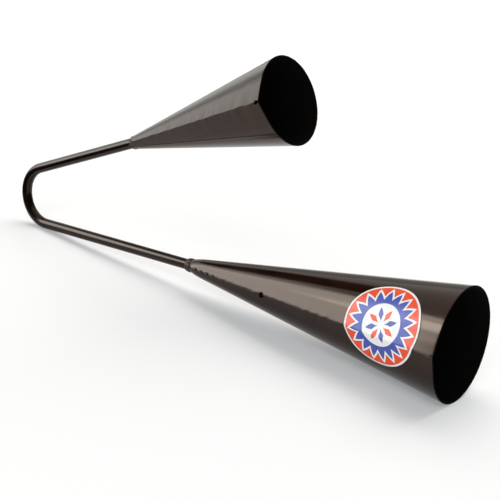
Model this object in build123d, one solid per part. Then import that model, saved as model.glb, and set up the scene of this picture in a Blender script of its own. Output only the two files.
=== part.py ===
from build123d import *
import os
from math import asin, atan, atan2, cos, hypot, pi, radians, sin, tan

# All sizes are in millimetres, and all angles in degrees.
# The origin is on the rod's centre line in the middle of the handle's bend. +X runs towards
# the mouths and +Z points up at the high bell. The V stands in the XZ plane, as it does on
# a table: on its lower bend and on the rim of the low bell. The seams are on the -Y side.

# Handle: one round steel rod bent into a narrow V
rod_diameter = 8.0
vee_angle = 20.8
arm_spacing = 38.6
web_flat = 1.0
high_arm = 126.6
low_arm = 172.9
rod_insert = 14.0

# Bells: one steel sheet each, rolled to a cone with one straight seam
sheet = 1.2
high_throat_play = 0.05
low_throat_play = 0.73
high_mouth = 62.9
high_length = 145.1
low_mouth = 79.0
low_length = 220.5
low_droop = 0.25
high_seam_flat = 20.0
low_seam_flat = 15.0
seam_gap = 0.8
seam_rise = 4.0

# Welds
bead_diameter = 1.7
throat_weld_run = 6.0
throat_weld_land = 4.0
throat_weld_crown = 0.3
throat_weld_root = 0.3
start_tack_radius = 1.5
start_tack_fade = 0.05
start_tack_pitch = 6.2
start_tack_count = 4
mid_tack_radius = 2.4
mid_tack_crater = 1.2
mid_tack_from_throat = 74.5
rim_tack_radius = 1.9

# Label: one thin round disc wrapped round the low bell
label_diameter = 58.0
label_thickness = 0.15
label_glue = 0.12
label_from_mouth = 43.0
label_rise = 18.0
label_margin = 1.0

# Room that a cutting solid has past the faces that it cuts
cut_room = 2.0

# Sizes of the handle that follow from the ones above
rod_radius = rod_diameter / 2
vee = radians(vee_angle)
corner_turn = pi / 2 - vee / 2
bend_run = (arm_spacing - web_flat) / 2
bend_radius = bend_run / tan(corner_turn / 2)

# Lean of the low arm when the lower bend and the low bell's rim touch the same surface.
# The low bell droops a little from the line of its arm.
droop = radians(low_droop)
rim_run = low_arm + low_length * cos(droop) - low_mouth / 2 * sin(droop) - bend_run
rim_drop = low_length * sin(droop) + low_mouth / 2 * cos(droop) + bend_radius
low_lean = atan2(rim_drop, rim_run) - asin((bend_radius + rod_radius) / hypot(rim_drop, rim_run))
high_lean = low_lean + vee
web_lean = low_lean + vee / 2


class Bell:
    """One bell on its arm. Its own frame has the throat at the origin, the mouth along +Z
    and the seam on the +X side, and its methods return solids in that frame."""

    def __init__(self, side, arm_lean, bell_lean, arm, throat_play, mouth, length, seam_flat):
        self.length = length
        self.mouth_radius = mouth / 2
        bore = rod_radius + throat_play
        gain = self.mouth_radius - bore
        self.half_cone = atan2(gain, length) - asin(sheet / hypot(gain, length))
        self.slope = tan(self.half_cone)
        self.wall = sheet / cos(self.half_cone)
        self.throat_radius = bore + self.wall
        self.flat_turn = atan(seam_flat / self.mouth_radius)
        self.corner = Vector(-sin(web_lean), 0, cos(web_lean)) * (side * arm_spacing / 2)
        arm_way = Vector(cos(arm_lean), 0, sin(arm_lean))
        throat = self.corner + arm_way * arm
        self.rod_end = throat + arm_way * rod_insert
        upward = Vector(-sin(bell_lean), 0, cos(bell_lean))
        rise = radians(seam_rise)
        seam_side = Vector(0, -cos(rise), 0) + upward * sin(rise)
        self.plane = Plane(throat, x_dir=seam_side, z_dir=(cos(bell_lean), 0, sin(bell_lean)))
        self.up_sense = 1 if self.plane.y_dir.dot(upward) > 0 else -1

    def radius(self, z):
        """Outer radius of the round part of the sheet at height z."""
        return self.throat_radius + self.slope * z

    def crest(self, z):
        """Distance from the bell's axis to the sharp edge at the seam."""
        return self.radius(z) / cos(self.flat_turn)

    def section(self, z, grow):
        """Rolled outline at height z: a circle with two flats that meet at the seam."""
        r = self.radius(z) + grow
        flat_x = r * cos(self.flat_turn)
        flat_y = r * sin(self.flat_turn)
        seam_point = (r / cos(self.flat_turn), 0)
        round_back = ThreePointArc((flat_x, flat_y), (-r, 0), (flat_x, -flat_y))
        flats = Polyline((flat_x, -flat_y), seam_point, (flat_x, flat_y))
        return Plane.XY.offset(z) * make_face([round_back, flats])

    def body(self, grow, start, end):
        """Filled cone whose surface lies the distance grow outside the sheet's outer face."""
        return loft([self.section(start, grow), self.section(end, grow)], ruled=True)

    def outer(self):
        return self.body(0, 0, self.length)

    def slab(self):
        """Room between the throat's plane and the mouth's plane."""
        side = 4 * self.mouth_radius
        return Box(side, side, self.length, align=(Align.CENTER, Align.CENTER, Align.MIN))

    def shell(self):
        """Rolled sheet, open along the seam by the gap between its two edges."""
        inner = self.body(-self.wall, -cut_room, self.length + cut_room)
        slot_size = (2 * self.mouth_radius, seam_gap, 2 * (self.length + cut_room))
        slot = Box(*slot_size, align=(Align.MIN, Align.CENTER, Align.CENTER))
        return self.outer() - inner - slot

    def seam_bead(self):
        """Round bead that fills the gap between the sheet's two edges."""
        sunk = self.wall / 2 / cos(self.flat_turn)
        foot = Vector(self.crest(-cut_room) - sunk, 0, -cut_room)
        head_z = self.length + cut_room
        run = Vector(self.crest(head_z) - sunk, 0, head_z) - foot
        bar = Cylinder(bead_diameter / 2, run.length, align=(Align.CENTER, Align.CENTER, Align.MIN))
        return (Plane(foot, z_dir=run) * bar & self.slab()) - self.shell()

    def throat_weld(self):
        """Fillet weld that joins the rod to the narrow end of the cone. Its outline starts
        inside the rod, so that it runs out on the rod's surface at a clean edge."""
        foot = (rod_radius - throat_weld_root, -throat_weld_run)
        crown = (self.throat_radius + throat_weld_crown, 0)
        head = (self.radius(throat_weld_land), throat_weld_land)
        face = ThreePointArc(foot, crown, head)
        back = Polyline(head, (0, throat_weld_land), (0, -throat_weld_run), foot)
        ring = revolve(Plane.XZ * make_face([face, back]), Axis.Z)
        rod_line = Plane((0, 0, 0), z_dir=self.plane.to_local_coords(self.rod_end))
        rod = rod_line * Cylinder(rod_radius, 4 * (throat_weld_run + throat_weld_land))
        return ring - rod - self.outer()

    def lump(self, z, ball):
        """Drop of weld metal on the seam, lying on the sheet's outer face."""
        return Pos(self.crest(z), 0, z) * ball - self.outer() - self.seam_bead()

    def rim_tack(self):
        """Lump at the mouth end of the seam, ground level with the rim."""
        return self.lump(self.length - rim_tack_radius / 2, Sphere(rim_tack_radius)) & self.slab()

    def start_tack(self, number):
        """One of the lumps that run on from the throat weld along the seam. Its ball is turned,
        so that the poles lie beside the sharp edge and the cuts stay clear of them."""
        place = throat_weld_land + start_tack_pitch * (number + 0.5)
        ball = Rot(90, 0, 0) * Sphere(start_tack_radius - start_tack_fade * number)
        return self.lump(place, ball) - self.throat_weld()

    def mid_tack(self):
        """Single lump part of the way along the seam, with a crater in its top."""
        z = mid_tack_from_throat
        top = Pos(self.crest(z) + mid_tack_radius, 0, z)
        return self.lump(z, Sphere(mid_tack_radius)) - top * Sphere(mid_tack_crater)

    def on_sheet(self, slant, turn):
        """Point on the sheet's outer face from its place on the sheet laid flat, where the
        seam is a straight line: slant is the distance from the cone's tip, and turn the
        angle from the seam."""
        from_tip = slant * cos(self.half_cone)
        r = from_tip * self.slope
        past_flat = slant * abs(turn) - r * tan(self.flat_turn)
        if past_flat < 0:
            reach = hypot(r, past_flat)
            round_turn = self.flat_turn + atan(past_flat / r)
        else:
            reach = r
            round_turn = self.flat_turn + past_flat / r
        sideways = reach * sin(round_turn) * (1 if turn > 0 else -1)
        return Vector(reach * cos(round_turn), sideways, from_tip - self.throat_radius / self.slope)

    def disc_prism(self, diameter, steps=48):
        """Prism through the seam side of the sheet, with the outline of a flat disc of this
        diameter that was wrapped round the bell at the label's place."""
        from_tip = self.length - label_from_mouth + self.throat_radius / self.slope
        slant = from_tip / cos(self.half_cone)
        middle = self.up_sense * radians(label_rise - seam_rise)
        flat_turn = middle * sin(self.half_cone)
        facing = Plane((0, 0, 0), x_dir=(0, 0, 1), z_dir=(cos(middle), sin(middle), 0))
        outline = []
        for step in range(steps):
            around = 2 * pi * step / steps
            east = slant * cos(flat_turn) + diameter / 2 * cos(around)
            north = slant * sin(flat_turn) + diameter / 2 * sin(around)
            point = self.on_sheet(hypot(east, north), atan2(north, east))
            seen = facing.to_local_coords(point)
            outline.append((seen.X, seen.Y))
        return facing * extrude(make_face(Spline(outline, periodic=True)), 2 * self.mouth_radius)

    def label(self):
        """Printed disc that follows the sheet, one layer of glue above it."""
        face = self.body(label_glue + label_thickness, 0, self.length)
        back = self.body(label_glue, 0, self.length)
        return (face - back) & self.disc_prism(label_diameter)


def handle_rod(high, low):
    """Round bar along both arms and the two bends between them."""
    points = [high.rod_end, high.corner, low.corner, low.rod_end]
    line = FilletPolyline(*[(point.X, point.Z) for point in points], radius=bend_radius)
    path = Plane.XZ * line
    return sweep(Plane(path @ 0, z_dir=path % 0) * Circle(rod_radius), path=path)


high_sizes = (high_throat_play, high_mouth, high_length, high_seam_flat)
low_sizes = (low_throat_play, low_mouth, low_length, low_seam_flat)
high_bell = Bell(1, high_lean, high_lean, high_arm, *high_sizes)
low_bell = Bell(-1, low_lean, low_lean - droop, low_arm, *low_sizes)
parts = {"handle_rod": handle_rod(high_bell, low_bell)}

# High bell
high_throat = high_bell.throat_weld()
parts["high_bell_shell"] = high_bell.plane * high_bell.shell()
parts["high_bell_seam_weld"] = high_bell.plane * (high_bell.seam_bead() - high_throat)
parts["high_bell_throat_weld"] = high_bell.plane * high_throat
parts["high_bell_rim_tack"] = high_bell.plane * high_bell.rim_tack()

# Low bell: its bead is ground level with the sheet under the label
low_throat = low_bell.throat_weld()
ground_off = low_bell.disc_prism(label_diameter + 2 * label_margin) - low_bell.outer()
parts["low_bell_shell"] = low_bell.plane * low_bell.shell()
parts["low_bell_seam_weld"] = low_bell.plane * (low_bell.seam_bead() - low_throat - ground_off)
parts["low_bell_throat_weld"] = low_bell.plane * low_throat
parts["low_bell_rim_tack"] = low_bell.plane * low_bell.rim_tack()
for number in range(start_tack_count):
    parts["low_bell_start_tack_" + str(number + 1)] = low_bell.plane * low_bell.start_tack(number)
parts["low_bell_mid_tack"] = low_bell.plane * low_bell.mid_tack()
parts["low_bell_label"] = low_bell.plane * low_bell.label()

os.makedirs("parts", exist_ok=True)
for name, shape in parts.items():
    export_step(shape, "parts/" + name + ".step")
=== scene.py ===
import math

import bpy
import numpy as np
from mathutils import Matrix, Vector


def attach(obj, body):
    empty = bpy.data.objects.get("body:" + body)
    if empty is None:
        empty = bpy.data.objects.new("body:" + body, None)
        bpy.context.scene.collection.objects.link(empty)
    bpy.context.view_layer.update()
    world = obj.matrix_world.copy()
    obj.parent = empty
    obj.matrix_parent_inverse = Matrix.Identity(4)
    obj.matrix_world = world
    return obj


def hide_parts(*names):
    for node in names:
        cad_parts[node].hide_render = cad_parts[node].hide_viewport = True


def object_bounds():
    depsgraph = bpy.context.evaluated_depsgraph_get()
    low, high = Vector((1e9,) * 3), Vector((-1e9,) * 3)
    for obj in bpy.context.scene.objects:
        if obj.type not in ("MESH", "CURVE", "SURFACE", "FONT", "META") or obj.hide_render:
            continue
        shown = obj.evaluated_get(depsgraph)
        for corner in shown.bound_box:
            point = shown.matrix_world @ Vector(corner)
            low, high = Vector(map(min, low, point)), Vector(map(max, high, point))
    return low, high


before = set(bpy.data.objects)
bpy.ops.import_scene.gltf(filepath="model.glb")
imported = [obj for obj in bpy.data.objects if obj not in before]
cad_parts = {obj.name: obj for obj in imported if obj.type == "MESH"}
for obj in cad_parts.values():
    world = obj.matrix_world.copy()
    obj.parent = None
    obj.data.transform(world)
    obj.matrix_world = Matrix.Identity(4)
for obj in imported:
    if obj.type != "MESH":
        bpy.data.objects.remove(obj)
cad_low, cad_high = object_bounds()

# Handle rod
# The handle is one round steel bar, bent cold at two places into a narrow V, with both bells
# welded to its ends. It is dipped in the same black-brown lacquer as the bells.

rod_radius = 0.004
vee_angle = math.radians(20.8)
arm_spacing = 0.0386
web_flat = 0.001
high_arm = 0.1266
low_arm = 0.1729
rod_insert = 0.014
low_lean = math.radians(5.54303)
high_lean = low_lean + vee_angle
web_lean = low_lean + vee_angle / 2
bend_radius = (arm_spacing - web_flat) / 2 / math.tan((math.pi / 2 - vee_angle / 2) / 2)


class Wiring:
    """Adds nodes to one tree, and joins them by the names or numbers of their sockets."""

    def __init__(self, tree):
        self.tree = tree

    def add(self, kind, sockets=None, **settings):
        node = self.tree.nodes.new(kind)
        for key, value in settings.items():
            setattr(node, key, value)
        for key, value in (sockets or {}).items():
            if isinstance(value, bpy.types.NodeSocket):
                self.tree.links.new(value, node.inputs[key])
            else:
                node.inputs[key].default_value = value
        return node

    def math(self, operation, *values):
        sockets = dict(enumerate(values))
        return self.add("ShaderNodeMath", sockets, operation=operation).outputs[0]

    def vector(self, x, y, z):
        return self.add("ShaderNodeCombineXYZ", {0: x, 1: y, 2: z}).outputs[0]

    def vectors(self, operation, *values):
        sockets = dict(enumerate(values))
        return self.add("ShaderNodeVectorMath", sockets, operation=operation).outputs[0]

    def store(self, geometry, name, value, kind="FLOAT_VECTOR"):
        sockets = {"Geometry": geometry, "Name": name, "Value": value}
        node = self.add("GeometryNodeStoreNamedAttribute", sockets, data_type=kind, domain="POINT")
        return node.outputs[0]

    def stored(self, name, kind="FLOAT_VECTOR"):
        return self.add("GeometryNodeInputNamedAttribute", {"Name": name}, data_type=kind).outputs[0]

    def noise(self, vector, scale, detail=2.0, roughness=0.5):
        sockets = {"Vector": vector, "Scale": scale, "Detail": detail, "Roughness": roughness}
        return self.add("ShaderNodeTexNoise", sockets).outputs[0]

    def ramp(self, value, low, high, to_low=0.0, to_high=1.0):
        sockets = {0: value, 1: low, 2: high, 3: to_low, 4: to_high}
        return self.add("ShaderNodeMapRange", sockets).outputs[0]

    def mix(self, share, first, second):
        sockets = {0: share, 6: first, 7: second}
        return self.add("ShaderNodeMix", sockets, data_type="RGBA").outputs[2]


def shape_tree(name, inputs):
    """Starts a Geometry Nodes tree with these named inputs, and returns it with its wiring and
    the group input node."""
    tree = bpy.data.node_groups.new(name, "GeometryNodeTree")
    for label, kind in inputs.items():
        tree.interface.new_socket(label, in_out="INPUT", socket_type="NodeSocket" + kind)
    tree.interface.new_socket("Geometry", in_out="OUTPUT", socket_type="NodeSocketGeometry")
    wiring = Wiring(tree)
    return tree, wiring, wiring.add("NodeGroupInput").outputs


def end_shape(wiring, geometry, material):
    """Ends a Geometry Nodes tree: real, smooth geometry with its finish."""
    real = wiring.add("GeometryNodeRealizeInstances", {0: geometry}).outputs[0]
    smooth = wiring.add("GeometryNodeSetShadeSmooth", {"Geometry": real}).outputs[0]
    painted = wiring.add("GeometryNodeSetMaterial", {"Geometry": smooth, "Material": material})
    wiring.add("NodeGroupOutput", {0: painted.outputs[0]})


def made_piece(name, tree, values, source=None, place=None):
    """Runs a tree on a curve or an empty mesh, and returns the result as a plain mesh object."""
    maker = bpy.data.objects.new(name + "_maker", source or bpy.data.meshes.new(name))
    bpy.context.scene.collection.objects.link(maker)
    modifier = maker.modifiers.new("shape", "NODES")
    modifier.node_group = tree
    for item in tree.interface.items_tree:
        if item.in_out == "INPUT" and item.name in values:
            modifier[item.identifier] = values[item.name]
    graph = bpy.context.evaluated_depsgraph_get()
    mesh = bpy.data.meshes.new_from_object(maker.evaluated_get(graph), depsgraph=graph)
    mesh.name = name
    bpy.data.objects.remove(maker)
    if place is not None:
        mesh.transform(place)
    piece = bpy.data.objects.new(name, mesh)
    bpy.context.scene.collection.objects.link(piece)
    return piece


def settle(piece, node):
    """Puts a finished piece in the place of its CAD node."""
    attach(piece, "root")
    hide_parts(node)


def open_lines(name, stretches):
    """One or more straight-sided open lines as a curve, to be swept by a tree."""
    curve = bpy.data.curves.new(name, "CURVE")
    curve.dimensions = "3D"
    for stretch in stretches:
        spline = curve.splines.new("POLY")
        spline.points.add(len(stretch) - 1)
        for point, place in zip(spline.points, stretch):
            point.co = (*place, 1.0)
    return curve


def lacquer(name, base, worn, roughness, peel, grain_attribute, grain_depth):
    """Thin black-brown lacquer on steel. It is a little uneven in colour and gloss, has a fine
    orange peel, and lets the grain of the metal below show through."""
    material = bpy.data.materials.new(name)
    material.use_nodes = True
    wiring = Wiring(material.node_tree)
    shader = material.node_tree.nodes["Principled BSDF"]
    place = wiring.add("ShaderNodeTexCoord").outputs["Object"]
    patches = wiring.noise(place, 38.0, 3.0, 0.6)
    specks = wiring.noise(place, 1400.0, 2.0)
    grain_place = wiring.add("ShaderNodeAttribute", attribute_name=grain_attribute).outputs["Vector"]
    grain = wiring.noise(grain_place, 900.0, 4.0, 0.7)
    shade = wiring.ramp(patches, 0.3, 0.7)
    colour = wiring.mix(shade, (*base, 1.0), (*worn, 1.0))
    gloss = wiring.math("ADD", wiring.ramp(patches, 0.3, 0.7, roughness - 0.03, roughness + 0.03),
                        wiring.ramp(grain, 0.3, 0.7, -0.03, 0.03))
    height = wiring.math("ADD", wiring.math("MULTIPLY", specks, peel),
                         wiring.math("MULTIPLY", grain, grain_depth))
    bump = wiring.add("ShaderNodeBump", {"Height": height, "Strength": 1.0, "Distance": 1.0})
    links = material.node_tree.links
    links.new(colour, shader.inputs["Base Color"])
    links.new(gloss, shader.inputs["Roughness"])
    links.new(bump.outputs[0], shader.inputs["Normal"])
    shader.inputs["IOR"].default_value = 1.52
    shader.inputs["Specular IOR Level"].default_value = 0.3
    shader.inputs["Specular Tint"].default_value = (1.0, 0.8, 0.7, 1.0)
    return material


rod_finish = lacquer("rod_lacquer", (0.003, 0.0013, 0.0009), (0.006, 0.0026, 0.0018), 0.2, 0.000003,
                     "rod_grain", 0.000004)

rod_sides = 56
rod_step = 0.0012
bend_steps = 40
grain_stretch = 0.02
sweep_inputs = {"Geometry": "Geometry", "Rod Radius": "Float", "Bend Radius": "Float", "Step": "Float",
                "Bend Steps": "Int", "Sides": "Int", "Finish": "Material"}
rod_tree, rod_wires, rod_in = shape_tree("bent_rod", sweep_inputs)
bend_sockets = {"Curve": rod_in["Geometry"], "Count": rod_in["Bend Steps"], "Radius": rod_in["Bend Radius"]}
bent = rod_wires.add("GeometryNodeFilletCurve", bend_sockets, mode="POLY").outputs[0]
rail_sockets = {"Curve": bent, "Length": rod_in["Step"]}
rail = rod_wires.add("GeometryNodeResampleCurve", rail_sockets, mode="LENGTH").outputs[0]
along = rod_wires.add("GeometryNodeSplineParameter").outputs["Length"]
marked_rail = rod_wires.store(rail, "rod_along", along, "FLOAT")
ring_sockets = {"Resolution": rod_in["Sides"], "Radius": rod_in["Rod Radius"]}
ring = rod_wires.add("GeometryNodeCurvePrimitiveCircle", ring_sockets).outputs[0]
ring_place = rod_wires.add("GeometryNodeInputPosition").outputs[0]
marked_ring = rod_wires.store(ring, "rod_round", ring_place)
bar_sockets = {"Curve": marked_rail, "Profile Curve": marked_ring, "Fill Caps": True}
bar = rod_wires.add("GeometryNodeCurveToMesh", bar_sockets).outputs[0]
along_grain = rod_wires.math("MULTIPLY", rod_wires.stored("rod_along", "FLOAT"), grain_stretch)
grain_shift = rod_wires.vector(0.0, 0.0, along_grain)
grain_place = rod_wires.vectors("ADD", rod_wires.stored("rod_round"), grain_shift)
end_shape(rod_wires, rod_wires.store(bar, "rod_grain", grain_place), rod_in["Finish"])

web_way = Vector((-math.sin(web_lean), 0.0, math.cos(web_lean)))
high_corner = web_way * (arm_spacing / 2)
low_corner = web_way * (-arm_spacing / 2)
high_way = Vector((math.cos(high_lean), 0.0, math.sin(high_lean)))
low_way = Vector((math.cos(low_lean), 0.0, math.sin(low_lean)))
rod_points = [high_corner + high_way * (high_arm + rod_insert), high_corner,
              low_corner, low_corner + low_way * (low_arm + rod_insert)]
handle_rod = made_piece("handle_bar", rod_tree, {
    "Rod Radius": rod_radius, "Bend Radius": bend_radius, "Step": rod_step, "Bend Steps": bend_steps,
    "Sides": rod_sides, "Finish": rod_finish}, open_lines("rod_line", [rod_points]))
settle(handle_rod, "handle_rod")

# Bell shells
# Each bell is one piece of 1.2 mm steel sheet, rolled to a cone. The two edges stay almost flat
# for some way before they meet, so the seam stands out as a blunt ridge. The outside has the
# lacquer's gloss. The inside and the cut edge are painted near-black and dull, as painted shade
# for the shadow deep in the cone.

sheet = 0.0012
seam_gap = 0.0008
seam_rise = math.radians(4.0)
low_droop = math.radians(0.25)
roll_mark_depth = 0.00022
dent_depth = 0.00012
high_bow = 0.1
low_tuck = 0.0007
tuck_length = 0.01
waver_width = 0.0026
waver_fade = 0.006
rim_softness = 0.0003


class Bell:
    """Sizes and place of one bell. Its own frame has the throat at the origin, the mouth along
    +Z and the seam at +X."""

    def __init__(self, corner, arm_way, arm, lean, throat_play, mouth, length, seam_flat):
        self.length = length
        self.mouth_radius = mouth / 2
        bore = rod_radius + throat_play
        gain = self.mouth_radius - bore
        self.half_cone = math.atan2(gain, length) - math.asin(sheet / math.hypot(gain, length))
        self.slope = math.tan(self.half_cone)
        self.wall = sheet / math.cos(self.half_cone)
        self.throat_radius = bore + self.wall
        self.flat_turn = math.atan(seam_flat / self.mouth_radius)
        axis = Vector((math.cos(lean), 0.0, math.sin(lean)))
        upward = Vector((-math.sin(lean), 0.0, math.cos(lean)))
        seam_way = Vector((0.0, -math.cos(seam_rise), 0.0)) + upward * math.sin(seam_rise)
        turned = Matrix((seam_way, axis.cross(seam_way), axis)).transposed().to_4x4()
        self.place = Matrix.Translation(corner + arm_way * arm) @ turned

    def crest(self, z):
        """Distance from the axis to the ridge of the seam."""
        return (self.throat_radius + self.slope * z) / math.cos(self.flat_turn)


high_bell = Bell(high_corner, high_way, high_arm, high_lean, throat_play=0.00005, mouth=0.0629,
                 length=0.1451, seam_flat=0.02)
low_bell = Bell(low_corner, low_way, low_arm, low_lean - low_droop, throat_play=0.00073, mouth=0.079,
                length=0.2205, seam_flat=0.015)

bell_finish = lacquer("bell_lacquer", (0.01, 0.0032, 0.0018), (0.016, 0.0054, 0.0032), 0.13, 0.0000015,
                      "sheet_grain", 0.000002)
# Inside of the cone: near-black, very rough paint with almost no gloss and a faint random mottle. This is
# painted shade standing in for the shadow deep in the cone.
inside_shade_paint = bpy.data.materials.new("painted_shade_inside")
inside_shade_paint.use_nodes = True
inside_wires = Wiring(inside_shade_paint.node_tree)
inside_shader = inside_shade_paint.node_tree.nodes["Principled BSDF"]
inside_place = inside_wires.add("ShaderNodeTexCoord").outputs["Object"]
inside_shade_mottle = inside_wires.noise(inside_place, 260.0, 4.0, 0.6)
inside_links = inside_shade_paint.node_tree.links
inside_links.new(inside_wires.mix(inside_shade_mottle, (0.0015, 0.0012, 0.001, 1.0), (0.004, 0.003, 0.0026, 1.0)),
                 inside_shader.inputs["Base Color"])
inside_links.new(inside_wires.ramp(inside_shade_mottle, 0.3, 0.7, 0.75, 0.95), inside_shader.inputs["Roughness"])
inside_shader.inputs["Specular IOR Level"].default_value = 0.06

bell_measures = ("Throat Radius", "Slope", "Length", "Flat Turn", "Seam Gap", "Bow", "Tuck", "Roll Marks",
                 "Dents", "Seam Waver", "Waver End", "Seed")
bell_inputs = {"Around": "Int", "Along": "Int", **dict.fromkeys(bell_measures, "Float"),
               "Finish": "Material"}


def seam_waver(wiring, height, seed, amount, end):
    """How far the seam strays to the side at this height, up to the height end."""
    stray = wiring.noise(wiring.vector(seed, 0.0, height), 130.0, 2.0, 0.6)
    sideways = wiring.math("MULTIPLY", amount, wiring.math("SUBTRACT", stray, 0.5))
    fade = wiring.ramp(height, wiring.math("SUBTRACT", end, waver_fade), end, 1.0, 0.0)
    return wiring.math("MULTIPLY", fade, sideways)


bell_tree, bell_wires, bell_in = shape_tree("rolled_bell", bell_inputs)
flat_sheet = bell_wires.add("GeometryNodeMeshGrid", {
    "Size X": 1.0, "Size Y": 1.0, "Vertices X": bell_in["Around"], "Vertices Y": bell_in["Along"]})
grid_place = bell_wires.add("GeometryNodeInputPosition").outputs[0]
spread = bell_wires.add("ShaderNodeSeparateXYZ", {0: grid_place}).outputs
round_share = bell_wires.math("ADD", spread[0], 0.5)
length_share = bell_wires.math("ADD", spread[1], 0.5)
height = bell_wires.math("MULTIPLY", length_share, bell_in["Length"])
plain_radius = bell_wires.math("MULTIPLY_ADD", height, bell_in["Slope"], bell_in["Throat Radius"])
edge_turn = bell_wires.math("DIVIDE", bell_wires.math("MULTIPLY", bell_in["Seam Gap"], 0.5), plain_radius)
sweep = bell_wires.math("SUBTRACT", 2 * math.pi, bell_wires.math("MULTIPLY", edge_turn, 2.0))
turn = bell_wires.math("MULTIPLY_ADD", round_share, sweep, edge_turn)
from_back = bell_wires.math("ABSOLUTE", bell_wires.math("SUBTRACT", turn, math.pi))
from_seam = bell_wires.math("SUBTRACT", math.pi, from_back)
off_flat = bell_wires.math("MAXIMUM", bell_wires.math("SUBTRACT", bell_in["Flat Turn"], from_seam), 0.0)
reach = bell_wires.math("DIVIDE", plain_radius, bell_wires.math("COSINE", off_flat))
waver_turn = bell_wires.math("MULTIPLY", bell_in["Flat Turn"], 2.0)
near_seam = bell_wires.ramp(from_seam, 0.0, waver_turn, 1.0, 0.0)
waver = seam_waver(bell_wires, height, bell_in["Seed"], bell_in["Seam Waver"], bell_in["Waver End"])
strayed = bell_wires.math("MULTIPLY", near_seam, bell_wires.math("DIVIDE", waver, plain_radius))
true_turn = bell_wires.math("ADD", turn, strayed)
cosine = bell_wires.math("COSINE", true_turn)
sine = bell_wires.math("SINE", true_turn)


def round_bell(radius):
    """Place of the sheet's points when they lie this far from the bell's axis."""
    across = bell_wires.math("MULTIPLY", cosine, radius)
    return bell_wires.vector(across, bell_wires.math("MULTIPLY", sine, radius), height)


rolling = bell_wires.vector(cosine, sine, bell_wires.math("MULTIPLY", length_share, 0.35))
seeded = bell_wires.vectors("ADD", rolling, bell_wires.vector(bell_in["Seed"], 0.0, 0.0))
roll_mark = bell_wires.math("MULTIPLY", bell_wires.noise(seeded, 3.2, 1.0), bell_in["Roll Marks"])
dent = bell_wires.math("MULTIPLY", bell_wires.noise(round_bell(reach), 28.0, 1.0), bell_in["Dents"])
uneven = bell_wires.math("MULTIPLY", bell_wires.math("ADD", roll_mark, dent), length_share)
tuck_share = bell_wires.math("POWER", bell_wires.ramp(height, 0.0, tuck_length, 1.0, 0.0), 2.0)
tucked = bell_wires.math("MULTIPLY_ADD", tuck_share, bell_in["Tuck"], uneven)
bow_turn = bell_wires.math("MULTIPLY", bell_in["Flat Turn"], 1.5)
bow_place = bell_wires.math("DIVIDE", from_seam, bow_turn)
bow_rest = bell_wires.math("MAXIMUM", bell_wires.math("SUBTRACT", 1.0, bow_place), 0.0)
bow_share = bell_wires.math("MULTIPLY", bell_wires.math("MULTIPLY", bow_place, bow_rest), bell_in["Bow"])
bowed_reach = bell_wires.math("MULTIPLY_ADD", bow_share, plain_radius, reach)
true_reach = bell_wires.math("SUBTRACT", bowed_reach, tucked)
rolled = bell_wires.add("GeometryNodeSetPosition", {
    "Geometry": flat_sheet.outputs[0], "Position": round_bell(true_reach)}).outputs[0]
brush_width = 0.0016
end_shape(bell_wires, bell_wires.store(rolled, "sheet_grain", round_bell(brush_width)), bell_in["Finish"])


def rolled_shell(name, bell, around, along, bow, tuck, seed, waver_end):
    """The rolled sheet with its thickness, a softened rim, and an inside painted near-black as painted
    shade.
    """
    outer_length = bell.length - sheet * math.sin(bell.half_cone)
    shell = made_piece(name, bell_tree, {
        "Around": around, "Along": along, "Throat Radius": bell.throat_radius, "Slope": bell.slope,
        "Length": outer_length, "Flat Turn": bell.flat_turn, "Seam Gap": seam_gap, "Bow": bow,
        "Tuck": tuck, "Roll Marks": roll_mark_depth, "Dents": dent_depth, "Seam Waver": waver_width,
        "Waver End": waver_end, "Seed": seed, "Finish": bell_finish}, place=bell.place)
    # The inside and the cut edge of the sheet take the painted shade.
    shell.data.materials.append(inside_shade_paint)
    wall = shell.modifiers.new("wall", "SOLIDIFY")
    wall.thickness = sheet
    wall.offset = -1.0
    wall.use_even_offset = True
    wall.material_offset = 1
    wall.material_offset_rim = 1
    rim = shell.modifiers.new("rim", "BEVEL")
    rim.width = rim_softness
    rim.segments = 3
    rim.limit_method = "ANGLE"
    rim.angle_limit = math.radians(50.0)
    shading = shell.modifiers.new("shading", "WEIGHTED_NORMAL")
    shading.keep_sharp = True
    return shell


high_seed, low_seed = 3.0, 11.0
high_waver_end, low_waver_end = high_bell.length + 0.01, 0.1455
high_shell = rolled_shell("high_bell_cone", high_bell, 193, 97, high_bow, 0.0, high_seed, high_waver_end)
settle(high_shell, "high_bell_shell")
low_shell = rolled_shell("low_bell_cone", low_bell, 225, 151, 0.0, low_tuck, low_seed, low_waver_end)
settle(low_shell, "low_bell_shell")

# Seam welds
# The two edges of each sheet are joined by a thin weld bead, laid in small ripples and then
# lacquered over. Under the label of the low bell the bead is ground level with the sheet.

bead_radius = 0.00085
bead_ripple = 0.0013
bead_ripple_depth = 0.12
bead_step = 0.00026
bead_start = 0.003
bead_rim_room = 0.0004
label_radius = 0.029
label_from_mouth = 0.043

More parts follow.
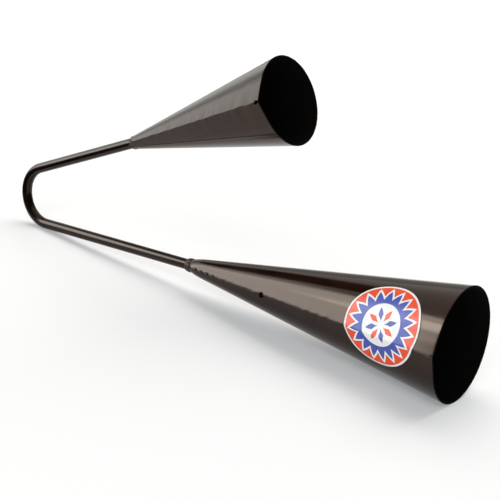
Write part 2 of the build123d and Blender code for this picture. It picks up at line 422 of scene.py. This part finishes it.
weld_finish = lacquer("weld_lacquer", (0.012, 0.008, 0.0062), (0.028, 0.02, 0.016), 0.33, 0.00003,
                      "weld_grain", 0.0)
bead_inputs = {"Geometry": "Geometry", "Bead Radius": "Float", "Ripple": "Float", "Ripple Depth": "Float",
               "Step": "Float", "Seam Waver": "Float", "Waver End": "Float", "Seed": "Float",
               "Finish": "Material"}
bead_tree, bead_wires, bead_in = shape_tree("rippled_bead", bead_inputs)
bead_rail = bead_wires.add("GeometryNodeResampleCurve", {
    "Curve": bead_in["Geometry"], "Length": bead_in["Step"]}, mode="LENGTH").outputs[0]
bead_along = bead_wires.add("GeometryNodeSplineParameter").outputs["Length"]
beat = bead_wires.math("FRACT", bead_wires.math("DIVIDE", bead_along, bead_in["Ripple"]))
scallop = bead_wires.math("MULTIPLY", bead_wires.math("SUBTRACT", 1.0, beat), bead_in["Ripple Depth"])
bead_place = bead_wires.add("GeometryNodeInputPosition").outputs[0]
uneven_bead = bead_wires.ramp(bead_wires.noise(bead_place, 160.0, 2.0), 0.25, 0.75, -0.18, 0.0)
bead_size = bead_wires.math("MULTIPLY", bead_in["Bead Radius"], bead_wires.math(
    "SUBTRACT", bead_wires.math("ADD", 1.0, uneven_bead), scallop))
bead_ring = bead_wires.add("GeometryNodeCurvePrimitiveCircle", {"Resolution": 14, "Radius": 1.0})
bead_height = bead_wires.add("ShaderNodeSeparateXYZ", {0: bead_place}).outputs[2]
bead_waver = seam_waver(bead_wires, bead_height, bead_in["Seed"], bead_in["Seam Waver"],
                        bead_in["Waver End"])
bead_line = bead_wires.add("GeometryNodeSetPosition", {
    "Geometry": bead_rail, "Offset": bead_wires.vector(0.0, bead_waver, 0.0)})
bead_mesh = bead_wires.add("GeometryNodeCurveToMesh", {
    "Curve": bead_line.outputs[0], "Profile Curve": bead_ring.outputs[0], "Scale": bead_size,
    "Fill Caps": True})
end_shape(bead_wires, bead_mesh.outputs[0], bead_in["Finish"])


def seam_line(bell, stretches):
    """Centre line of the bead, half a wall below the ridge, over these heights."""
    sunk = bell.wall / 2 / math.cos(bell.flat_turn)
    return [[(bell.crest(z) - sunk, 0.0, z) for z in stretch] for stretch in stretches]


def seam_weld(name, bell, stretches, seed, waver_end):
    """The bead along a bell's seam, over these heights."""
    line = open_lines(name + "_line", seam_line(bell, stretches))
    return made_piece(name, bead_tree, {
        "Bead Radius": bead_radius, "Ripple": bead_ripple, "Ripple Depth": bead_ripple_depth,
        "Step": bead_step, "Seam Waver": waver_width, "Waver End": waver_end, "Seed": seed,
        "Finish": weld_finish}, line, bell.place)


label_middle = low_bell.length - label_from_mouth
high_stretches = [(bead_start, high_bell.length - bead_rim_room)]
low_stretches = [(bead_start, label_middle - label_radius),
                 (label_middle + label_radius, low_bell.length - bead_rim_room)]
high_seam = seam_weld("high_bell_seam", high_bell, high_stretches, high_seed, high_waver_end)
settle(high_seam, "high_bell_seam_weld")
low_seam = seam_weld("low_bell_seam", low_bell, low_stretches, low_seed, low_waver_end)
settle(low_seam, "low_bell_seam_weld")

# Throat welds and tacks
# A run of weld closes the narrow end of each cone onto the rod. On the low bell it goes on along
# the seam as four rough tacks, and a single tack sits a third of the way along. That tack and the
# high bell's rim tack are painted near-black. Both bells have a tack at the rim, dressed level
# with the mouth.

throat_voxel, tack_voxel = 0.0002, 0.00012
throat_ripple = 0.0011
throat_weld_land = 0.004
start_tack_pitch = 0.0062
start_tack_radius, start_tack_fade = 0.0015, 0.00005
start_tack_sunk = 0.0002
spatter_lumps = 3
mid_z, mid_side = 0.0745, 0.0006
mid_radius, mid_sunk = 0.0013, 0.0005
mid_bumps, mid_ring = 9, 0.0014
mid_bump_radius, mid_bump_sunk = 0.0009, 0.0003
rim_tack_room = 0.0017

drop_inputs = {"Geometry": "Geometry", "Voxel": "Float", "Roughness": "Float", "Lump": "Float",
               "Finish": "Material"}
drop_tree, drop_wires, drop_in = shape_tree("weld_metal", drop_inputs)
melt = drop_wires.add("GeometryNodeMeshToVolume", {
    "Mesh": drop_in["Geometry"], "Voxel Size": drop_in["Voxel"], "Interior Band Width": 0.001},
    resolution_mode="VOXEL_SIZE")
skin = drop_wires.add("GeometryNodeVolumeToMesh", {"Volume": melt.outputs[0], "Threshold": 0.1})
drop_place = drop_wires.add("GeometryNodeInputPosition").outputs[0]
drop_normal = drop_wires.add("GeometryNodeInputNormal").outputs[0]
swell = drop_wires.ramp(drop_wires.noise(drop_place, drop_in["Lump"], 3.0, 0.6), 0.2, 0.8, -1.0, 0.2)
push = drop_wires.add("ShaderNodeVectorMath", {
    0: drop_normal, "Scale": drop_wires.math("MULTIPLY", swell, drop_in["Roughness"])}, operation="SCALE")
rough_skin = drop_wires.add("GeometryNodeSetPosition", {
    "Geometry": skin.outputs[0], "Offset": push.outputs[0]})
end_shape(drop_wires, rough_skin.outputs[0], drop_in["Finish"])


def ball(points, faces, centre, size, rings=9, sides=14):
    """Adds one egg-shaped lump, with a size along each axis, to a list of points and faces."""
    first = len(points)
    points.append(centre + Vector((0.0, 0.0, size[2])))
    for ring_number in range(1, rings):
        slope = math.pi * ring_number / rings
        for side in range(sides):
            angle = 2 * math.pi * side / sides
            across = math.sin(slope)
            points.append(centre + Vector((
                size[0] * across * math.cos(angle), size[1] * across * math.sin(angle),
                size[2] * math.cos(slope))))
    points.append(centre - Vector((0.0, 0.0, size[2])))
    last = len(points) - 1
    for side in range(sides):
        beside = (side + 1) % sides
        faces.append((first, first + 1 + side, first + 1 + beside))
        for ring_number in range(rings - 2):
            low = first + 1 + ring_number * sides
            faces.append((low + side, low + sides + side, low + sides + beside, low + beside))
        end = first + 1 + (rings - 2) * sides
        faces.append((last, end + beside, end + side))


def weld_metal(name, lumps, place, voxel, roughness, lump_scale, finish):
    """Melts a row of lumps into one piece of weld metal."""
    points, faces = [], []
    for centre, size in lumps:
        ball(points, faces, Vector(centre), size)
    mesh = bpy.data.meshes.new(name + "_lumps")
    mesh.from_pydata(points, [], faces)
    return made_piece(name, drop_tree, {
        "Voxel": voxel, "Roughness": roughness, "Lump": lump_scale, "Finish": finish}, mesh, place)


draws = np.random.default_rng(7)


def throat_lumps(count, radius_there, start, end, spread):
    """Ripples of the weld round the throat."""
    lumps = []
    for number in range(count):
        angle = 2 * math.pi * (number + draws.uniform(-0.25, 0.25)) / count
        radius = radius_there + draws.uniform(-spread, spread)
        middle = (start + end) / 2 + draws.uniform(-spread, spread) * 2
        size = (throat_ripple, throat_ripple, (end - start) / 2 + draws.uniform(-spread, spread) * 2)
        lumps.append(((radius * math.cos(angle), radius * math.sin(angle), middle), size))
    return lumps


high_ripples = throat_lumps(count=16, radius_there=0.0043, start=-0.0042, end=0.0032, spread=0.00018)
high_throat = weld_metal("high_bell_throat", high_ripples, high_bell.place, throat_voxel,
                         roughness=0.0003, lump_scale=700.0, finish=weld_finish)
settle(high_throat, "high_bell_throat_weld")
low_ripples = throat_lumps(count=26, radius_there=0.0044, start=-0.006, end=0.0016, spread=0.00008)
low_throat = weld_metal("low_bell_throat", low_ripples, low_bell.place, throat_voxel,
                        roughness=0.0003, lump_scale=700.0, finish=weld_finish)
settle(low_throat, "low_bell_throat_weld")

for number in range(4):
    z = throat_weld_land + start_tack_pitch * (number + 0.5)
    size = start_tack_radius - start_tack_fade * number
    middle = low_bell.crest(z) - start_tack_sunk
    lumps = [((middle, 0.0, z), (size, size, size))]
    for spatter in range(spatter_lumps):
        side = draws.uniform(-0.6, 0.6) * size
        shift = draws.uniform(-0.8, 0.8) * size
        small = size * draws.uniform(0.45, 0.7)
        lumps.append(((middle, side, z + shift), (small, small, small)))
    tack = weld_metal("low_bell_start_lump_%d" % (number + 1), lumps, low_bell.place, tack_voxel,
                      roughness=0.0004, lump_scale=1100.0, finish=weld_finish)
    settle(tack, "low_bell_start_tack_%d" % (number + 1))

mid_crest = low_bell.crest(mid_z)
mid_lumps = [((mid_crest - mid_sunk, mid_side, mid_z), (mid_radius, mid_radius, mid_radius))]
for number in range(mid_bumps):
    angle = 2 * math.pi * number / mid_bumps
    side = mid_side + mid_ring * math.sin(angle)
    z = mid_z + mid_ring * math.cos(angle)
    bump_size = (mid_bump_radius, mid_bump_radius, mid_bump_radius)
    mid_lumps.append(((mid_crest - mid_bump_sunk, side, z), bump_size))
# Near-black, rough paint with almost no gloss, for the mid tack and the high bell's rim tack.
black_tack_paint = lacquer("black_tack_lacquer", (0.001, 0.0007, 0.0005), (0.002, 0.0014, 0.001), 0.7, 0.00003,
                "weld_grain", 0.0)
black_tack_paint.node_tree.nodes["Principled BSDF"].inputs["Specular IOR Level"].default_value = 0.03
mid_tack = weld_metal("low_bell_mid_lump", mid_lumps, low_bell.place, tack_voxel,
                      roughness=0.0003, lump_scale=900.0, finish=black_tack_paint)
settle(mid_tack, "low_bell_mid_tack")

for bell_word, bell, rim_finish in (("high", high_bell, black_tack_paint), ("low", low_bell, weld_finish)):
    rim_z = bell.length - rim_tack_room
    rim_crest = bell.crest(rim_z)
    rim_lumps = [((rim_crest - 0.0004, 0.0, rim_z), (0.0016, 0.0015, 0.0015)),
                 ((rim_crest - 0.0005, 0.0006, rim_z - 0.0014), (0.0011, 0.0012, 0.0012))]
    rim_tack = weld_metal(bell_word + "_bell_rim_lump", rim_lumps, bell.place, tack_voxel,
                          roughness=0.0003, lump_scale=900.0, finish=rim_finish)
    settle(rim_tack, bell_word + "_bell_rim_tack")

# Label
# A round printed film label is wrapped round the low bell, over the ground seam. It has a
# plain folk border of zigzag teeth and a rosette of lozenges, in red-orange, blue and white.

label_film = 0.00015
label_glue = 0.00012
label_rise = math.radians(18.0)
label_rings = 72
label_sides = 180
tooth_count, petal_count = 18, 8
tooth_height = 0.24


def on_sheet(bell, slant, turn, lift):
    """Point above the sheet's outer face from its place on the sheet laid flat: slant is the
    distance from the cone's tip, and turn the angle from the seam."""
    from_tip = slant * math.cos(bell.half_cone)
    radius = from_tip * bell.slope
    past_flat = slant * abs(turn) - radius * math.tan(bell.flat_turn)
    if past_flat < 0:
        reach = math.hypot(radius, past_flat)
        angle = bell.flat_turn + math.atan(past_flat / radius)
    else:
        reach = radius
        angle = bell.flat_turn + past_flat / radius
    reach += lift / math.cos(max(bell.flat_turn - angle, 0.0))
    sideways = reach * math.sin(angle) * (1 if turn > 0 else -1)
    return Vector((reach * math.cos(angle), sideways, from_tip - bell.throat_radius / bell.slope))


label_slant = (label_middle + low_bell.throat_radius / low_bell.slope) / math.cos(low_bell.half_cone)
label_turn = -(label_rise - seam_rise) * math.sin(low_bell.half_cone)
label_points, label_flat, label_faces = [], [], []
for ring_number in range(label_rings + 1):
    ring_radius = label_radius * ring_number / label_rings
    for side in range(label_sides if ring_number else 1):
        angle = 2 * math.pi * side / label_sides
        east = label_slant * math.cos(label_turn) + ring_radius * math.cos(angle)
        north = label_slant * math.sin(label_turn) + ring_radius * math.sin(angle)
        slant, turn_there = math.hypot(east, north), math.atan2(north, east)
        point = on_sheet(low_bell, slant, turn_there, label_glue + label_film)
        label_points.append(low_bell.place @ point)
        label_flat.append((0.5 + ring_radius * math.cos(angle) / label_radius / 2,
                           0.5 + ring_radius * math.sin(angle) / label_radius / 2))
for ring_number in range(label_rings):
    for side in range(label_sides):
        beside = (side + 1) % label_sides
        outer = 1 + ring_number * label_sides
        if ring_number == 0:
            label_faces.append((0, outer + beside, outer + side))
        else:
            inner = outer - label_sides
            label_faces.append((inner + side, inner + beside, outer + beside, outer + side))
label_mesh = bpy.data.meshes.new("low_bell_label_film")
label_mesh.from_pydata(label_points, [], label_faces)
label_uv = label_mesh.uv_layers.new(name="label_flat")
for loop in label_mesh.loops:
    label_uv.data[loop.index].uv = label_flat[loop.vertex_index]
for face in label_mesh.polygons:
    face.use_smooth = True

label_print = bpy.data.materials.new("label_print")
label_print.use_nodes = True
print_wires = Wiring(label_print.node_tree)
print_shader = label_print.node_tree.nodes["Principled BSDF"]
flat_place = print_wires.add("ShaderNodeUVMap", uv_map="label_flat").outputs[0]
centred = print_wires.vectors("ADD", flat_place, (-0.5, -0.5, 0.0))
split = print_wires.add("ShaderNodeSeparateXYZ", {0: centred})
outward = print_wires.math("MULTIPLY", 2.0, print_wires.add(
    "ShaderNodeVectorMath", {0: centred}, operation="LENGTH").outputs["Value"])
bearing = print_wires.math("DIVIDE", print_wires.math(
    "ARCTAN2", split.outputs[1], split.outputs[0]), 2 * math.pi)


def zigzag(teeth):
    """0 at the middle of each tooth and 1 between teeth, round the label."""
    counted = print_wires.math("MULTIPLY_ADD", bearing, float(teeth), float(teeth))
    from_middle = print_wires.math("SUBTRACT", print_wires.math("FRACT", counted), 0.5)
    return print_wires.math("MULTIPLY", 2.0, print_wires.math("ABSOLUTE", from_middle))


def inside_of(value, limit):
    """1 where a value lies below its limit."""
    return print_wires.math("LESS_THAN", value, limit)


def beyond(value, limit):
    """1 where a value lies above its limit."""
    return print_wires.math("GREATER_THAN", value, limit)


def both(first, second):
    """1 where both are 1."""
    return print_wires.math("MULTIPLY", first, second)


tooth = zigzag(tooth_count)
red_start = print_wires.math("MULTIPLY_ADD", tooth, tooth_height, 0.68)
blue_end = print_wires.math("MULTIPLY_ADD", tooth, tooth_height, 0.59)
red_teeth = both(beyond(outward, red_start), inside_of(outward, 0.955))
blue_teeth = both(inside_of(outward, blue_end), beyond(outward, 0.5))
petal = zigzag(petal_count)
petal_middle = print_wires.math("ABSOLUTE", print_wires.math("SUBTRACT", outward, 0.24))
petal_width = print_wires.math("SUBTRACT", 0.7, print_wires.math("MULTIPLY", petal_middle, 4.2))
petals = both(inside_of(petal, petal_width), inside_of(outward, 0.45))
petal_pair = petal_count / 2
petal_turn = print_wires.math("FRACT", print_wires.math("MULTIPLY_ADD", bearing, petal_pair, petal_pair))
red_petals = both(petals, inside_of(petal_turn, 0.5))
white = (0.88, 0.88, 0.87, 1.0)
red = (0.85, 0.075, 0.018, 1.0)
blue = (0.055, 0.085, 0.4, 1.0)
ink = print_wires.mix(red_teeth, white, red)
ink = print_wires.mix(blue_teeth, ink, blue)
ink = print_wires.mix(petals, ink, blue)
ink = print_wires.mix(red_petals, ink, red)
dust = print_wires.noise(print_wires.add("ShaderNodeTexCoord").outputs["Object"], 420.0, 3.0)
ink = print_wires.mix(print_wires.ramp(dust, 0.45, 0.8, 0.0, 0.06), ink, (0.5, 0.47, 0.44, 1.0))
print_links = label_print.node_tree.links
print_links.new(ink, print_shader.inputs["Base Color"])
print_links.new(print_wires.ramp(dust, 0.3, 0.7, 0.26, 0.36), print_shader.inputs["Roughness"])
film_bump = print_wires.add("ShaderNodeBump", {"Height": dust, "Strength": 0.25, "Distance": 0.00004})
print_links.new(film_bump.outputs[0], print_shader.inputs["Normal"])
print_shader.inputs["Specular IOR Level"].default_value = 0.3

low_label = bpy.data.objects.new("low_bell_label_film", label_mesh)
bpy.context.scene.collection.objects.link(low_label)
low_label.data.materials.append(label_print)
film = low_label.modifiers.new("film", "SOLIDIFY")
film.thickness = label_film
film.offset = -1.0
settle(low_label, "low_bell_label")

# Stage
# A pale table that keeps the shadow, a white surround and two soft lamps. Bright and dark cards
# stand round the object, and show only as reflections in its lacquer.

table_level = cad_low.z
aim = Vector((0.2243, 0.0, 0.0265))


def towards(azimuth, elevation):
    """Direction from the object, with azimuth counted from +X towards +Y."""
    a, e = math.radians(azimuth), math.radians(elevation)
    return Vector((math.cos(a) * math.cos(e), math.sin(a) * math.cos(e), math.sin(e)))


def soft_lamp(name, azimuth, elevation, distance, width, height, radiance, colour):
    """A soft box that faces the object, with the brightness of its face."""
    data = bpy.data.lights.new(name, "AREA")
    data.shape = "RECTANGLE"
    data.size = width
    data.size_y = height
    data.energy = radiance * math.pi * width * height
    data.color = colour
    lamp = bpy.data.objects.new(name, data)
    way = towards(azimuth, elevation)
    facing = way.to_track_quat("Z", "Y").to_matrix().to_4x4()
    lamp.matrix_world = Matrix.Translation(aim + way * distance) @ facing
    bpy.context.scene.collection.objects.link(lamp)
    return lamp


def seen_directly(wiring):
    """1 for the camera and for what mirrors or shows through, and 0 for other light."""
    path = wiring.add("ShaderNodeLightPath").outputs
    mirrored = wiring.math("ADD", path["Is Glossy Ray"], path["Is Transmission Ray"])
    return wiring.math("MINIMUM", 1.0, wiring.math("ADD", path["Is Camera Ray"], mirrored))


table_mesh = bpy.data.meshes.new("table")
table_half = 6.0
table_sides = ((-table_half, -table_half), (table_half, -table_half), (table_half, table_half),
               (-table_half, table_half))
table_mesh.from_pydata([(x, y, table_level) for x, y in table_sides], [], [(0, 1, 2, 3)])
table = bpy.data.objects.new("table", table_mesh)
bpy.context.scene.collection.objects.link(table)
table_paint = bpy.data.materials.new("table_paint")
table_paint.use_nodes = True
table_wires = Wiring(table_paint.node_tree)
table_paint.node_tree.nodes.remove(table_paint.node_tree.nodes["Principled BSDF"])
matt = table_wires.add("ShaderNodeBsdfDiffuse", {"Color": (0.95, 0.95, 0.95, 1.0)}).outputs[0]
glow = table_wires.add("ShaderNodeEmission", {
    "Color": (1.0, 1.0, 1.0, 1.0), "Strength": 1.0}).outputs[0]
glow_share = table_wires.math("MULTIPLY", seen_directly(table_wires), 0.2)
table_mix = table_wires.add("ShaderNodeMixShader", {0: glow_share, 1: matt, 2: glow}).outputs[0]
table_output = table_paint.node_tree.nodes["Material Output"]
table_paint.node_tree.links.new(table_mix, table_output.inputs["Surface"])
table_mesh.materials.append(table_paint)

surround = bpy.data.worlds.new("surround")
bpy.context.scene.world = surround
surround.use_nodes = True
sky_wires = Wiring(surround.node_tree)
sky = surround.node_tree.nodes["Background"]
sky.inputs["Color"].default_value = (1.0, 0.95, 0.88, 1.0)
sky_strength = sky_wires.ramp(seen_directly(sky_wires), 0.0, 1.0, 0.25, 1.0)
surround.node_tree.links.new(sky_strength, sky.inputs["Strength"])

top_box = soft_lamp("top_box", azimuth=115.0, elevation=54.0, distance=4.0, width=4.2, height=4.2,
                    radiance=3.05, colour=(1.0, 0.985, 0.955))
top_box.visible_glossy = False
front_box = soft_lamp("front_box", azimuth=300.0, elevation=28.0, distance=4.0, width=3.0, height=3.0,
                      radiance=3.4, colour=(0.84, 0.93, 1.0))
front_box.visible_glossy = False


def flag(name, points, faces, brightness):
    """A card that only shows as a reflection in the lacquer."""
    mesh = bpy.data.meshes.new(name)
    mesh.from_pydata(points, [], faces)
    paint = bpy.data.materials.new(name + "_paint")
    paint.use_nodes = True
    cloth = paint.node_tree.nodes["Principled BSDF"]
    cloth.inputs["Base Color"].default_value = (0.0, 0.0, 0.0, 1.0)
    cloth.inputs["Specular IOR Level"].default_value = 0.0
    cloth.inputs["Emission Color"].default_value = (0.98, 1.0, 0.96, 1.0)
    cloth.inputs["Emission Strength"].default_value = brightness
    mesh.materials.append(paint)
    card = bpy.data.objects.new(name, mesh)
    bpy.context.scene.collection.objects.link(card)
    card.visible_camera = False
    card.visible_diffuse = False
    card.visible_shadow = False
    card.visible_transmission = False


def curved_flag(name, azimuths, elevations, distance, brightness):
    """A card bent round the object, between these azimuths and elevations."""
    steps = 16
    first, last = azimuths
    lowest, highest = elevations
    points, faces = [], []
    for step in range(steps + 1):
        azimuth = first + (last - first) * step / steps
        points += [aim + towards(azimuth, lowest) * distance, aim + towards(azimuth, highest) * distance]
    for step in range(steps):
        corner = 2 * step
        faces.append((corner, corner + 2, corner + 3, corner + 1))
    flag(name, points, faces, brightness)


curved_flag("key_card", (198.0, 227.0), (3.0, 39.0), distance=3.0, brightness=8.0)
curved_flag("hot_card", (216.0, 226.0), (20.0, 31.0), distance=2.6, brightness=15.0)
curved_flag("dim_card", (177.0, 230.0), (-0.7, 39.5), distance=3.1, brightness=3.0)
curved_flag("side_card", (141.0, 177.0), (-0.7, 17.0), distance=3.1, brightness=1.4)
curved_flag("dark_strip", (149.0, 187.0), (31.0, 45.0), distance=1.0, brightness=0.0)
curved_flag("dark_room", (230.0, 440.0), (-1.5, 55.0), distance=1.7, brightness=0.0)
curved_flag("grey_back", (92.0, 140.0), (-0.5, 24.0), distance=3.2, brightness=0.42)
cloth_lift = 0.0005
cloth_outline = [(0.3, -0.312), (0.04, -0.075), (-0.03, -0.011), (-0.12, 0.06), (-0.6, 0.0), (-0.6, -0.9),
                 (0.28, -0.9)]
cloth_points = [(x, y, table_level + cloth_lift) for x, y in cloth_outline]
flag("dark_cloth", cloth_points, [tuple(range(len(cloth_outline)))], brightness=0.0)

# Camera
# It stands at the photograph's place, a little above the table, and leans over to one side.

camera_azimuth, camera_elevation, camera_roll = 33.799, 19.087, 8.908
camera_distance = 0.8536
camera_lens = 86.4
a, e = math.radians(camera_azimuth), math.radians(camera_elevation)
back = Vector((math.sin(a) * math.cos(e), -math.cos(a) * math.cos(e), math.sin(e)))
camera_data = bpy.data.cameras.new("camera")
camera_data.lens = camera_lens
camera_data.sensor_width = 36.0
camera_data.clip_start, camera_data.clip_end = 0.01, 50.0
camera = bpy.data.objects.new("camera", camera_data)
bpy.context.scene.collection.objects.link(camera)
level = (-back).to_track_quat("-Z", "Y").to_matrix().to_4x4()
camera.matrix_world = Matrix.Translation(aim + back * camera_distance) @ level @ Matrix.Rotation(
    math.radians(camera_roll), 4, "Z")
bpy.context.scene.camera = camera
bpy.context.scene.view_settings.view_transform = "Standard"
